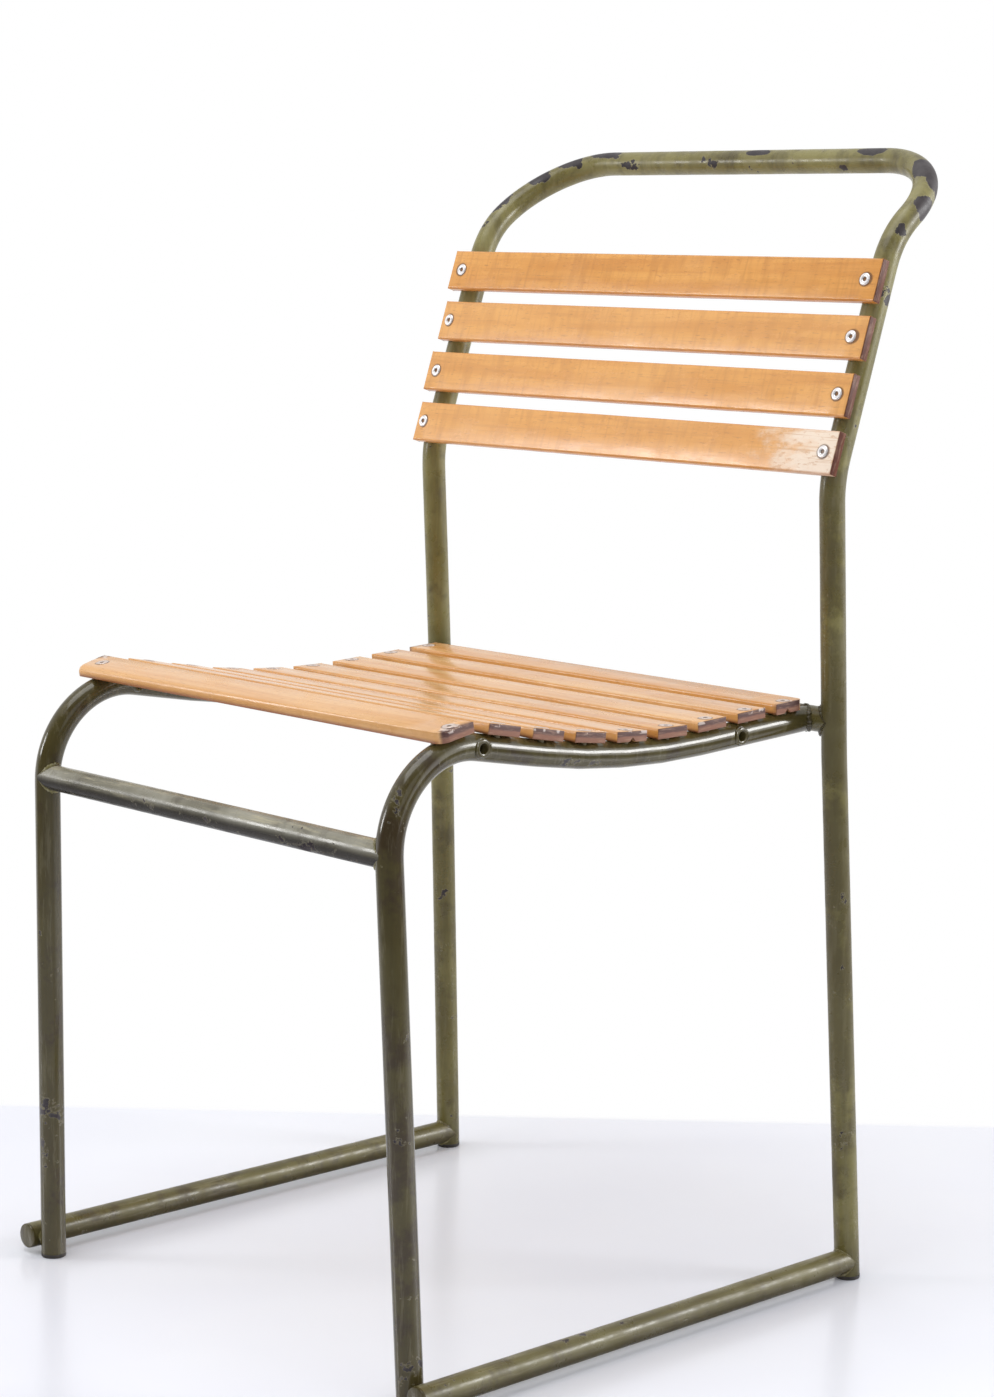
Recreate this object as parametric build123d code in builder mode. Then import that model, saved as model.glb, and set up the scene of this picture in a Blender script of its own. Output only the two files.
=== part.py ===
from build123d import *
from math import cos, radians, sin, tan
import os

# Garden chair: a frame of bent steel tube with riveted wooden slats.
# Millimetres, +Z up, the front towards -Y, and "right" is +X, as seen from the front.
# The origin is on the floor, below the middle of the chair's outline.
# Setbacks are measured along Y, rearwards from the front legs at the floor.

# Tube stock
tube_od = 19.05
tube_wall = 1.6
weld_gap = 0.2

# Rear legs and back, one bent tube
overall_height = 853.3
rear_foot_half_width = 227.1
rear_foot_setback = 428.0
rear_leg_lean = 3.2324
rear_splay = 9.1
splay_drop = 25.6
splay_bend = 400.0
knee_bend = 90.0
back_recline = 18.35
roll_bend = 75.0
roll_recline = 53.25
roll_straight = 0.5
top_corner_bend = 72.0

# Front legs and seat rails, one bent tube on each side
front_leg_lean = 1.72
front_leg_splay = 2.03
front_bend = 66.7
seat_front_height = 456.6
seat_dip_setback = 203.2
seat_dip_drop = 37.7
seat_dip_run = 81.0

# Cross rails, measured down from the seat's front corner, and runners
front_rail_drop = 78.2
rear_rail_drop = 26.0
runner_lift = 3.775
runner_nose = 2.0

# Plugs in the open tube ends
plug_clearance = 0.15
foot_flange = 3.0
foot_stem = 18.0
runner_flange = 2.0
runner_stem = 12.0

# Slats
seat_slat_count = 9
seat_slat_width = 30.0
seat_slat_overhang = 10.2
first_slat_run = 90.9
last_slat_setback = 31.5
front_slat_shift = 3.4
front_slat_flat = 0.5
front_slat_corner = 9.0
front_slat_left_reach = 9.0
back_slat_count = 4
back_slat_width = 33.0
back_slat_pitch = 43.6
back_slat_overhang = 10.8
top_slat_gap = 15.2
slat_thickness = 8.0
slat_edge_radius = 1.8
slat_end_chamfer = 0.8
slat_clearance = 0.12

# Hollow rivets through the slats and the tubes
rivet_shank = 5.0
rivet_wall = 1.1
rivet_head = 9.6
rivet_head_height = 0.8
rivet_head_rim = 0.4
rivet_tail = 7.0
rivet_tail_height = 0.6
rivet_clearance = 0.1
seat_rivet_outset = 3.0

# Link bushes through the seat rails, each ahead of a slat's rivet with a gap between them
bush_od = 12.7
bush_bore = 7.0
bush_proud = 0.6
bush_clearance = 0.1
front_bush_slat_number = 2
front_bush_gap = 7.15
rear_bush_slat_number = 8
rear_bush_gap = 1.15

tube_radius = tube_od / 2
bore_radius = tube_radius - tube_wall
joint_radius = tube_radius + weld_gap
rivet_bore = rivet_shank - 2 * rivet_wall
front_slat_nose = slat_thickness - slat_edge_radius - front_slat_flat

# Heights that follow the seat
seat_dip_height = seat_front_height - seat_dip_drop
front_rail_height = seat_front_height - front_rail_drop
rear_rail_height = seat_front_height - rear_rail_drop
splay_height = rear_rail_height - splay_drop
runner_height = tube_radius + runner_lift

# The back's straight run holds the slats between the knee and the roll
knee_turn = radians(back_recline + rear_leg_lean)
roll_turn = radians(roll_recline - back_recline)
knee_tangent = knee_bend * tan(knee_turn / 2)
roll_tangent = roll_bend * tan(roll_turn / 2)
back_run = knee_tangent + back_slat_pitch * (back_slat_count - 1) + top_slat_gap + roll_tangent
roll_run = roll_tangent + roll_straight + top_corner_bend

# Lines of the rear legs and the back: the legs splay outwards below the seat
back_half_width = rear_foot_half_width - rear_splay
rear_inset = rear_splay / splay_height
rear_advance = tan(radians(rear_leg_lean))
runner_half_width = rear_foot_half_width - rear_inset * runner_height
top_rail_height = overall_height - tube_radius
roll_height = top_rail_height - roll_run * cos(radians(roll_recline))
knee_height = roll_height - back_run * cos(radians(back_recline))
knee_setback = rear_foot_setback - rear_advance * knee_height
roll_setback = knee_setback + back_run * sin(radians(back_recline))
top_rail_setback = roll_setback + roll_run * sin(radians(roll_recline))

# Lines of the front legs: the runner lies against their outer side
front_leg_half_width = runner_half_width - tube_od - weld_gap
front_advance = tan(radians(front_leg_lean))
front_inset = tan(radians(front_leg_splay))
rear_rail_setback = rear_foot_setback - rear_advance * rear_rail_height

# The origin is midway between the front of the front rail and the back of the top rail
front_reach = front_advance * front_rail_height + tube_radius
rear_reach = top_rail_setback + tube_radius
origin_setback = (rear_reach - front_reach) / 2


def front_point(height, setback):
    """Point in the plane of the right side tube."""
    half_width = front_leg_half_width - front_inset * (height - runner_height)
    return Vector(half_width, setback - origin_setback, height)


def front_leg_point(height):
    """Point on the axis of the right front leg."""
    return front_point(height, -front_advance * height)


def rear_leg_point(height):
    """Point on the axis of the right rear leg."""
    half_width = rear_foot_half_width - rear_inset * min(height, splay_height)
    return Vector(half_width, rear_foot_setback - rear_advance * height - origin_setback, height)


def mirrored(point):
    """The same point on the left side."""
    return Vector(-point.X, point.Y, point.Z)


def bent_route(corners, bends):
    """Wire of straight runs and arcs through the corners."""
    with BuildLine() as route:
        FilletPolyline(*corners, radius=bends)
    return route.wire()


def swept_bar(route, outer, inner=0.0):
    """Round bar or tube along a bent route."""
    with BuildPart() as bar:
        with BuildSketch(Plane(origin=route @ 0, z_dir=route % 0)):
            Circle(outer)
            if inner:
                Circle(inner, mode=Mode.SUBTRACT)
        sweep(path=route)
    return bar.part


def straight_bar(start, end, outer, inner=0.0):
    """Round bar or tube between two points."""
    span = end - start
    with BuildPart() as bar:
        with BuildSketch(Plane(origin=start, z_dir=span)):
            Circle(outer)
            if inner:
                Circle(inner, mode=Mode.SUBTRACT)
        extrude(amount=span.length)
    return bar.part


def write(piece, name):
    """Label a finished piece and write it out."""
    piece.part.label = name
    export_step(piece.part, f"parts/{name}.step")


os.makedirs("parts", exist_ok=True)

# Bent routes of the tubes' axes, drawn from below the floor and trimmed there
below_floor = -tube_od
knee = rear_leg_point(knee_height)
roll = Vector(back_half_width, roll_setback - origin_setback, roll_height)
top = Vector(back_half_width, top_rail_setback - origin_setback, top_rail_height)
right_back_corners = [rear_leg_point(below_floor), rear_leg_point(splay_height), knee, roll, top]
left_back_corners = [mirrored(corner) for corner in reversed(right_back_corners)]
right_back_bends = [splay_bend, knee_bend, roll_bend, top_corner_bend]
back_bends = right_back_bends + right_back_bends[::-1]
back_route = bent_route(right_back_corners + left_back_corners, back_bends)
back_envelope = swept_bar(back_route, joint_radius)

seat_front = front_leg_point(seat_front_height)
seat_dip = front_point(seat_dip_height, seat_dip_setback)
seat_rear = front_point(rear_rail_height, rear_rail_setback)
seat_dip_turn = radians((seat_dip - seat_front).get_angle(seat_rear - seat_dip))
seat_dip_bend = seat_dip_run / tan(seat_dip_turn / 2)
side_corners = [front_leg_point(below_floor), seat_front, seat_dip, seat_rear]
side_route = bent_route(side_corners, [front_bend, seat_dip_bend])

# Planes on the seat rail, one under each slat: X across the chair, Z square to the rail.
# The front slat sits on the bend, a little further back than its place in the row.
dip_lift = seat_slat_width**2 / (8 * (seat_dip_bend - tube_radius))
slat_seat = tube_radius + slat_clearance + dip_lift
first_slat_station = side_route.edges()[0].length + first_slat_run
last_slat_station = side_route.length - last_slat_setback
seat_slat_pitch = (last_slat_station - first_slat_station) / (seat_slat_count - 1)
seat_slat_stations = [first_slat_station + seat_slat_pitch * step for step in range(seat_slat_count)]
seat_slat_stations[0] += front_slat_shift


def seat_plane(station):
    """Plane on the right seat rail's axis at a distance along the side tube."""
    point = side_route.position_at(station, position_mode=PositionMode.LENGTH)
    run = side_route.tangent_at(station, position_mode=PositionMode.LENGTH)
    return Plane(origin=point, x_dir=(1, 0, 0), z_dir=(0, -run.Z, run.Y))


def outset(plane):
    """A rivet's plane on the right seat rail, off the rail's axis towards the slat's end."""
    origin = plane.origin + Vector(seat_rivet_outset, 0, 0)
    return Plane(origin=origin, x_dir=plane.x_dir, z_dir=plane.z_dir)


seat_planes = [seat_plane(station) for station in seat_slat_stations]
seat_rivet_planes = [outset(plane) for plane in seat_planes]

# Planes on the back's straight run, one behind each slat, from the lowest up
back_normal = Vector(0, -cos(radians(back_recline)), sin(radians(back_recline)))
back_run_direction = Vector(0, sin(radians(back_recline)), cos(radians(back_recline)))
back_planes = [
    Plane(
        origin=knee + back_run_direction * (knee_tangent + back_slat_pitch * step),
        x_dir=(1, 0, 0),
        z_dir=back_normal,
    )
    for step in range(back_slat_count)
]
back_slat_seat = tube_radius + slat_clearance


def on_left(plane):
    """The same plane on the left side's tube."""
    return Plane(origin=mirrored(plane.origin), x_dir=plane.x_dir, z_dir=plane.z_dir)


def on_centre(plane, lift):
    """A slat's plane: on the chair's middle, raised off the tube's axis."""
    centre = Vector(0, plane.origin.Y, plane.origin.Z)
    return Plane(origin=centre, x_dir=plane.x_dir, z_dir=plane.z_dir).offset(lift)


def bush_plane(slat_number, gap):
    """Plane across the right seat rail, ahead of a slat's rivet."""
    lead = rivet_shank / 2 + gap + bush_od / 2
    point = seat_plane(seat_slat_stations[slat_number - 1] - lead).origin
    return Plane(origin=point, x_dir=(0, 1, 0), z_dir=(1, 0, 0))


bush_planes = {
    "front": bush_plane(front_bush_slat_number, front_bush_gap),
    "rear": bush_plane(rear_bush_slat_number, rear_bush_gap),
}

# Back frame: rear legs, uprights and top rail
with BuildPart() as back_frame:
    add(swept_bar(back_route, tube_radius, bore_radius))
    split(bisect_by=Plane.XY.offset(foot_flange), keep=Keep.TOP)
    with Locations(*back_planes, *[on_left(plane) for plane in back_planes]):
        Cylinder(rivet_shank / 2 + rivet_clearance, 2 * tube_od, mode=Mode.SUBTRACT)
write(back_frame, "back_frame")

# Rear cross rail, its ends shaped to the rear legs
rear_rail_end = rear_leg_point(rear_rail_height)
with BuildPart() as rear_cross_rail:
    add(straight_bar(mirrored(rear_rail_end), rear_rail_end, tube_radius, bore_radius))
    add(back_envelope, mode=Mode.SUBTRACT)
write(rear_cross_rail, "rear_cross_rail")

# Side tubes: front leg and seat rail, the rear end shaped to the rear cross rail.
# The rivet holes' seams are turned away from the tube's own seam.
with BuildPart() as right_side_tube:
    add(swept_bar(side_route, tube_radius, bore_radius))
    split(bisect_by=Plane.XY.offset(foot_flange), keep=Keep.TOP)
    add(straight_bar(mirrored(rear_rail_end), rear_rail_end, joint_radius), mode=Mode.SUBTRACT)
    with Locations(*seat_rivet_planes):
        Cylinder(rivet_shank / 2 + rivet_clearance, 2 * tube_od, rotation=(0, 0, 90), mode=Mode.SUBTRACT)
    with Locations(*bush_planes.values()):
        Cylinder(bush_od / 2 + bush_clearance, 2 * tube_od, mode=Mode.SUBTRACT)
with BuildPart() as left_side_tube:
    mirror(right_side_tube.part, about=Plane.YZ)
write(right_side_tube, "right_side_tube")
write(left_side_tube, "left_side_tube")

# Front cross rail, its ends shaped to the side tubes
front_rail_end = front_leg_point(front_rail_height)
side_envelope = swept_bar(side_route, joint_radius)
with BuildPart() as front_cross_rail:
    add(straight_bar(mirrored(front_rail_end), front_rail_end, tube_radius, bore_radius))
    add(side_envelope, mode=Mode.SUBTRACT)
    add(side_envelope.mirror(Plane.YZ), mode=Mode.SUBTRACT)
write(front_cross_rail, "front_cross_rail")

# Runners: from the rear leg forward, past the outer side of the front leg
runner_rear = rear_leg_point(runner_height)
runner_front = front_leg_point(runner_height).Y - tube_radius - runner_nose
runner_tip = Vector(runner_rear.X, runner_front + runner_flange, runner_height)
with BuildPart() as right_runner:
    add(straight_bar(runner_tip, runner_rear, tube_radius, bore_radius))
    add(back_envelope, mode=Mode.SUBTRACT)
with BuildPart() as left_runner:
    mirror(right_runner.part, about=Plane.YZ)
write(right_runner, "right_runner")
write(left_runner, "left_runner")

# Runner end plugs: a flange on the tube's front end and a stem inside it
plug_radius = bore_radius - plug_clearance
with BuildPart(Plane(origin=runner_tip, z_dir=(0, 1, 0))) as right_runner_plug:
    Cylinder(tube_radius, runner_flange, align=(Align.CENTER, Align.CENTER, Align.MAX))
    Cylinder(plug_radius, runner_stem, align=(Align.CENTER, Align.CENTER, Align.MIN))
with BuildPart() as left_runner_plug:
    mirror(right_runner_plug.part, about=Plane.YZ)
write(right_runner_plug, "right_runner_plug")
write(left_runner_plug, "left_runner_plug")

# Foot plugs: flat on the floor, with a stem up inside the leg
for end, leg_point in (("front", front_leg_point), ("rear", rear_leg_point)):
    leg_direction = leg_point(foot_stem) - leg_point(0)
    foot = Plane(origin=leg_point(0), z_dir=leg_direction)
    with BuildPart(foot) as right_foot:
        Cylinder(tube_radius, 4 * foot_flange)
        split(bisect_by=Plane.XY, keep=Keep.TOP)
        split(bisect_by=Plane.XY.offset(foot_flange), keep=Keep.BOTTOM)
        with Locations((0, 0, foot_flange / 2)):
            Cylinder(plug_radius, foot_stem, align=(Align.CENTER, Align.CENTER, Align.MIN))
    with BuildPart() as left_foot:
        mirror(right_foot.part, about=Plane.YZ)
    write(right_foot, f"{end}_right_foot_plug")
    write(left_foot, f"{end}_left_foot_plug")

# Link bushes: short open tubes through the seat rails
for end, plane in bush_planes.items():
    with BuildPart(plane) as right_bush:
        Cylinder(bush_od / 2, tube_od + 2 * bush_proud)
        Cylinder(bush_bore / 2, 2 * tube_od, mode=Mode.SUBTRACT)
    with BuildPart() as left_bush:
        mirror(right_bush.part, about=Plane.YZ)
    write(right_bush, f"{end}_right_link_bush")
    write(left_bush, f"{end}_left_link_bush")


def slat(plane, half_length, width, rivet_half_spacing, nose=slat_edge_radius, left_reach=0.0, corner=0.0):
    """Board with eased edges, a nose along its front top edge and a rivet hole near each end.

    It can reach further on the left, and its front corners can be rounded.
    """
    length = 2 * half_length + left_reach
    with BuildPart() as blank:
        with BuildSketch(Plane.YZ.offset(half_length - length)) as section:
            Rectangle(width, slat_thickness, align=(Align.CENTER, Align.MIN))
            front_top = section.vertices().group_by(Axis.X)[0].sort_by(Axis.Y)[-1]
            fillet([corner for corner in section.vertices() if corner != front_top], slat_edge_radius)
            front_top = section.vertices().group_by(Axis.X)[0].sort_by(Axis.Y)[-1]
            fillet(front_top, nose)
        extrude(amount=length)
        chamfer(blank.faces().sort_by(Axis.X)[0].edges(), slat_end_chamfer)
        chamfer(blank.faces().sort_by(Axis.X)[-1].edges(), slat_end_chamfer)
        if corner:
            with BuildSketch() as outline:
                with Locations((half_length - length / 2, 0)):
                    Rectangle(length, width)
                fillet(outline.vertices().group_by(Axis.Y)[0], corner)
            extrude(amount=2 * slat_thickness, mode=Mode.INTERSECT)
        with Locations((-rivet_half_spacing, 0, 0), (rivet_half_spacing, 0, 0)):
            Cylinder(rivet_shank / 2 + rivet_clearance, 4 * slat_thickness, mode=Mode.SUBTRACT)
    with BuildPart() as board:
        with Locations(plane):
            add(blank.part)
    return board


# Seat slats, from the front to the rear: the front one has a nose and rounded corners
seat_half_length = front_point(seat_dip_height, 0).X + seat_slat_overhang
front_slat_shape = {
    "nose": front_slat_nose,
    "left_reach": front_slat_left_reach,
    "corner": front_slat_corner,
}
for number, plane in enumerate(seat_rivet_planes, start=1):
    shape = front_slat_shape if number == 1 else {}
    board = slat(on_centre(plane, slat_seat), seat_half_length, seat_slat_width, plane.origin.X, **shape)
    write(board, f"seat_slat_{number}")

# Back slats, from the lowest up
back_half_length = back_half_width + back_slat_overhang
for number, plane in enumerate(back_planes, start=1):
    centre = on_centre(plane, back_slat_seat)
    board = slat(centre, back_half_length, back_slat_width, back_half_width)
    write(board, f"back_slat_{number}")


def rivet(slat_base):
    """Hollow rivet on Z, with Z = 0 on the tube's axis: head on the slat, tail behind the tube."""
    head_base = slat_base + slat_thickness + rivet_clearance
    head_top = head_base + rivet_head_height
    bend_lift = rivet_tail**2 / (8 * (front_bend - tube_radius))
    tail_base = -tube_radius - rivet_clearance - bend_lift
    with BuildPart() as fastener:
        with BuildSketch(Plane.XZ):
            with BuildLine():
                Polyline(
                    (rivet_bore / 2, head_top),
                    (rivet_head / 2 - rivet_head_rim, head_top),
                    (rivet_head / 2, head_top - rivet_head_rim),
                    (rivet_head / 2, head_base),
                    (rivet_shank / 2, head_base),
                    (rivet_shank / 2, tail_base),
                    (rivet_tail / 2, tail_base),
                    (rivet_shank / 2, tail_base - rivet_tail_height),
                    (rivet_bore / 2, tail_base - rivet_tail_height),
                    close=True,
                )
            make_face()
        revolve(axis=Axis.Z)
    return fastener.part


# Rivets: one through each slat end and the tube under it
with BuildPart() as seat_slat_rivets:
    with Locations(*seat_rivet_planes, *[on_left(plane) for plane in seat_rivet_planes]):
        add(rivet(slat_seat))
with BuildPart() as back_slat_rivets:
    with Locations(*back_planes, *[on_left(plane) for plane in back_planes]):
        add(rivet(back_slat_seat))
write(seat_slat_rivets, "seat_slat_rivets")
write(back_slat_rivets, "back_slat_rivets")
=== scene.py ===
import math
import random
import bpy
from mathutils import Matrix, Vector, noise


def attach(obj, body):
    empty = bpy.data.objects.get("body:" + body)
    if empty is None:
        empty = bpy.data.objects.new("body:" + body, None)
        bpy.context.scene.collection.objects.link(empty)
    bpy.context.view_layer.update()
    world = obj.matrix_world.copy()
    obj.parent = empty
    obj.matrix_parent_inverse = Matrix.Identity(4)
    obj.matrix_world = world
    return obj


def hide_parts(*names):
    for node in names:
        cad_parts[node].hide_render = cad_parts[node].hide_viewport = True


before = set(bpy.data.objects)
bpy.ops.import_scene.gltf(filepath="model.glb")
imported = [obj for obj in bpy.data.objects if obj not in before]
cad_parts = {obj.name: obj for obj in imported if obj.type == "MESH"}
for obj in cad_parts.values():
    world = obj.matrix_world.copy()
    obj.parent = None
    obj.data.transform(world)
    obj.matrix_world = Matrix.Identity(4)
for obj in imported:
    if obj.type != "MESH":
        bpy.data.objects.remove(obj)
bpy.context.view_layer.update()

# Garden chair: bent tube in worn olive paint, varnished slats, hollow rivets.
# Metres, +Z up, the front towards -Y, and "right" is +X.
MM = 0.001
chance = random.Random(11)
rightward = Vector((1, 0, 0))
leftward = Vector((-1, 0, 0))
rearward = Vector((0, 1, 0))

# Tube stock and the corners that the tubes are bent at
tube_radius = 9.525 * MM
tube_sides = 64
rear_leg_low = Vector((227.528, 170.0722, -19.05)) * MM
rear_leg_splay = Vector((218.0, 146.1236, 405.0)) * MM
back_knee = Vector((218.0, 134.5993, 609.0561)) * MM
back_roll = Vector((218.0, 193.3857, 786.2907)) * MM
back_top = Vector((218.0, 270.3665, 843.775)) * MM
front_leg_low = Vector((208.6978, -258.4316, -19.05)) * MM
seat_front = Vector((191.8384, -272.7148, 456.6)) * MM
seat_dip = Vector((193.1747, -55.8037, 418.9)) * MM
seat_rear = Vector((192.76, 144.6778, 430.6)) * MM
splay_bend = 400.0 * MM
knee_bend = 90.0 * MM
roll_bend = 75.0 * MM
top_corner_bend = 72.0 * MM
front_bend = 66.7 * MM
dip_bend = 699.64 * MM

# How finely tubes are drawn: length of a step on a straight run, and degrees of a step round a bend
back_tube_steps = (60 * MM, 3.2)
side_tube_steps = (12 * MM, 3.6)
straight_tube_steps = (40 * MM, 4)

# Up to how many degrees faces are smoothed together
tube_smooth = 35
turned_smooth = 40
slat_smooth = 50
weld_smooth = 60

# Cross rails, runners and plugs
front_rail_height = 378.4 * MM
rear_rail_height = 430.6 * MM
runner_height = 13.3 * MM
runner_nose = 2.0 * MM
runner_flange = 2.0 * MM
runner_stem = 10.0 * MM
runner_plug_edge = 0.9 * MM
foot_height = 3.0 * MM
foot_stem = 12.0 * MM
foot_edge = 0.8 * MM
plug_middle = 0.4 * MM
stem_radius = tube_radius - 1.75 * MM
stem_chamfer = 1.0 * MM

# Slats
slat_thickness = 8.0 * MM
slat_arris = 1.8 * MM
slat_end_ease = 1.2 * MM
rounded_slat_end_ease = 0.5 * MM
slat_cuts = 28
seat_slat_width = 30.0 * MM
seat_slat_half_length = 203.37 * MM
seat_slat_lift = 9.808 * MM
seat_slat_count = 9
first_slat_run = 90.9 * MM
last_slat_setback = 31.5 * MM
front_slat_shift = 3.4 * MM
front_slat_nose = 5.7 * MM
front_slat_corner = 9.0 * MM
front_slat_left_reach = 9.0 * MM
last_slat_corner = 7.0 * MM
back_slat_width = 33.0 * MM
back_slat_half_length = 228.8 * MM
back_slat_lift = 9.645 * MM
back_slat_count = 4
back_slat_pitch = 43.6 * MM
bare_patch_length = 105 * MM

# Rivets: how far out they sit, how far they reach below the tube's axis, and the rise of their heads in mm
seat_rivet_outset = 3.0 * MM
seat_rivet_reach = 6.4 * MM
seat_rivet_crown = 0.45
back_rivet_reach = tube_radius
back_rivet_crown = 0.80
rivet_sides = 32
rivet_bore_reach = 1.6 * MM
rivet_tail_top = 2.0 * MM

# Link bushes, each ahead of a slat's rivet
bush_radius = 6.35 * MM
bush_bore = 3.5 * MM
bush_half_length = 10.125 * MM
bush_rim = 1.1 * MM
bush_sides = 48
bush_press = 0.15 * MM
bush_places = {"front": (2, 16.0 * MM), "rear": (8, 10.0 * MM)}

# Weld beads
collar_size = 1.0 * MM
collar_sides = 72
bead_sides = 96
bead_round_sides = 12
bead_level = 0.82
bead_wave = 0.10
bead_waves = 26
bead_sink = 0.96
tack_radius = 7.0 * MM
tack_flat = 0.42
tack_height = 0.85

# Share of a rounded edge at which the middle point of its round lies
round_share = 0.3

# Slack for finding points on a face or on a slat's end, and for merging doubles
touch = 0.1 * MM
end_touch = 0.5 * MM
merge_gap = 0.002 * MM


def on_left(point):
    """The same point on the left side."""
    return Vector((-point.x, point.y, point.z))


def leg_at(low, high, height):
    """Point of a straight leg's axis at a height."""
    return low.lerp(high, (height - low.z) / (high.z - low.z))


def tube_route(corners, bends):
    """Straight runs and bends of a tube's axis."""
    route = []
    start = corners[0]
    for corner, following, bend in zip(corners[1:], corners[2:], bends):
        before = (corner - start).normalized()
        after = (following - corner).normalized()
        turn = before.angle(after)
        reach = bend * math.tan(turn / 2)
        entry = corner - before * reach
        leave = corner + after * reach
        axis = before.cross(after).normalized()
        centre = entry + axis.cross(before) * bend
        route.append({"start": start, "end": entry, "length": (entry - start).length, "turn": 0.0})
        route.append({"start": entry, "end": leave, "length": bend * turn, "turn": turn,
                      "axis": axis, "centre": centre, "heading": before})
        start = leave
    end = corners[-1]
    route.append({"start": start, "end": end, "length": (end - start).length, "turn": 0.0})
    return route


def on_route(route, distance):
    """Point and heading at a distance along a route."""
    for step in route:
        if distance <= step["length"]:
            break
        distance -= step["length"]
    share = distance / step["length"]
    if step["turn"]:
        swing = Matrix.Rotation(step["turn"] * share, 3, step["axis"])
        return step["centre"] + swing @ (step["start"] - step["centre"]), swing @ step["heading"]
    return step["start"].lerp(step["end"], share), (step["end"] - step["start"]).normalized()


right_back_corners = [rear_leg_low, rear_leg_splay, back_knee, back_roll, back_top]
back_corners = right_back_corners + [on_left(corner) for corner in reversed(right_back_corners)]
right_back_bends = [splay_bend, knee_bend, roll_bend, top_corner_bend]
back_route = tube_route(back_corners, right_back_bends + right_back_bends[::-1])
side_route = tube_route([front_leg_low, seat_front, seat_dip, seat_rear], [front_bend, dip_bend])
side_length = sum(step["length"] for step in side_route)
first_station = side_route[0]["length"] + first_slat_run
seat_pitch = (side_length - last_slat_setback - first_station) / (seat_slat_count - 1)
seat_stations = [first_station + seat_pitch * step for step in range(seat_slat_count)]
seat_stations[0] += front_slat_shift


# Modelling helpers
def clear_selection():
    """Leave nothing selected before a new piece is started."""
    if bpy.context.object and bpy.context.object.mode != "OBJECT":
        bpy.ops.object.mode_set(mode="OBJECT")
    bpy.ops.object.select_all(action="DESELECT")


def take_up(piece):
    """Make one piece the selected and active one."""
    clear_selection()
    piece.select_set(True)
    bpy.context.view_layer.objects.active = piece


def pick_edges(piece, wanted):
    """Go into edit mode with only the wanted edges selected."""
    take_up(piece)
    bpy.ops.object.mode_set(mode="EDIT")
    bpy.ops.mesh.select_mode(type="EDGE")
    bpy.ops.mesh.select_all(action="DESELECT")
    bpy.ops.object.mode_set(mode="OBJECT")
    points = piece.data.vertices
    for edge in piece.data.edges:
        edge.select = wanted(points[edge.vertices[0]].co, points[edge.vertices[1]].co)
    bpy.ops.object.mode_set(mode="EDIT")


def turn_towards(direction):
    """Turn that brings Z round to a direction."""
    return direction.to_track_quat("Z", "Y").to_euler()


def close_up(piece):
    """Merge doubles, close the open rims and turn the faces outwards."""
    take_up(piece)
    bpy.ops.object.mode_set(mode="EDIT")
    bpy.ops.mesh.select_mode(type="VERT")
    bpy.ops.mesh.select_all(action="SELECT")
    bpy.ops.mesh.remove_doubles(threshold=merge_gap)
    bpy.ops.mesh.fill_holes(sides=0)
    bpy.ops.mesh.normals_make_consistent(inside=False)
    bpy.ops.object.mode_set(mode="OBJECT")


def settle(piece, smooth_angle):
    """Bring the piece's place into its mesh and smooth its round faces."""
    take_up(piece)
    bpy.ops.object.transform_apply(location=True, rotation=True, scale=True)
    bpy.ops.object.shade_smooth_by_angle(angle=math.radians(smooth_angle))


def cut_away(piece, cutter):
    """Take a cutter's shape out of a piece."""
    take_up(piece)
    cut = piece.modifiers.new("cut", "BOOLEAN")
    cut.operation = "DIFFERENCE"
    cut.solver = "EXACT"
    cut.object = cutter
    bpy.ops.object.modifier_apply(modifier=cut.name)
    bpy.data.objects.remove(cutter)


def copied(piece, name):
    """Copy of a piece with its own mesh."""
    twin = piece.copy()
    twin.data = piece.data.copy()
    twin.name = name
    bpy.context.scene.collection.objects.link(twin)
    return twin


def to_left(piece):
    """Copy of a piece, mirrored to the left side."""
    twin = copied(piece, "left_piece")
    take_up(twin)
    bpy.ops.object.mode_set(mode="EDIT")
    bpy.ops.mesh.select_all(action="SELECT")
    bpy.ops.transform.mirror(constraint_axis=(True, False, False), center_override=(0, 0, 0))
    bpy.ops.mesh.normals_make_consistent(inside=False)
    bpy.ops.object.mode_set(mode="OBJECT")
    return twin


def hand_over(piece, name, finish, slot, *nodes):
    """Name a finished piece, give it its finish and fix it to the chair."""
    piece.name = name
    piece.data.name = name
    piece.data.materials.clear()
    piece.data.materials.append(finish)
    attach(piece, "root")
    if nodes:
        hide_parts(*nodes)
    return piece


def hand_over_both(right_piece, name, finish, slot, *nodes):
    """Hand over a right-hand piece and its mirror image. SIDE in a name stands for right or left."""
    left_piece = to_left(right_piece)
    for side, piece in (("right", right_piece), ("left", left_piece)):
        side_nodes = [node.replace("SIDE", side) for node in nodes]
        hand_over(piece, name.replace("SIDE", side), finish, slot, *side_nodes)


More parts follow.
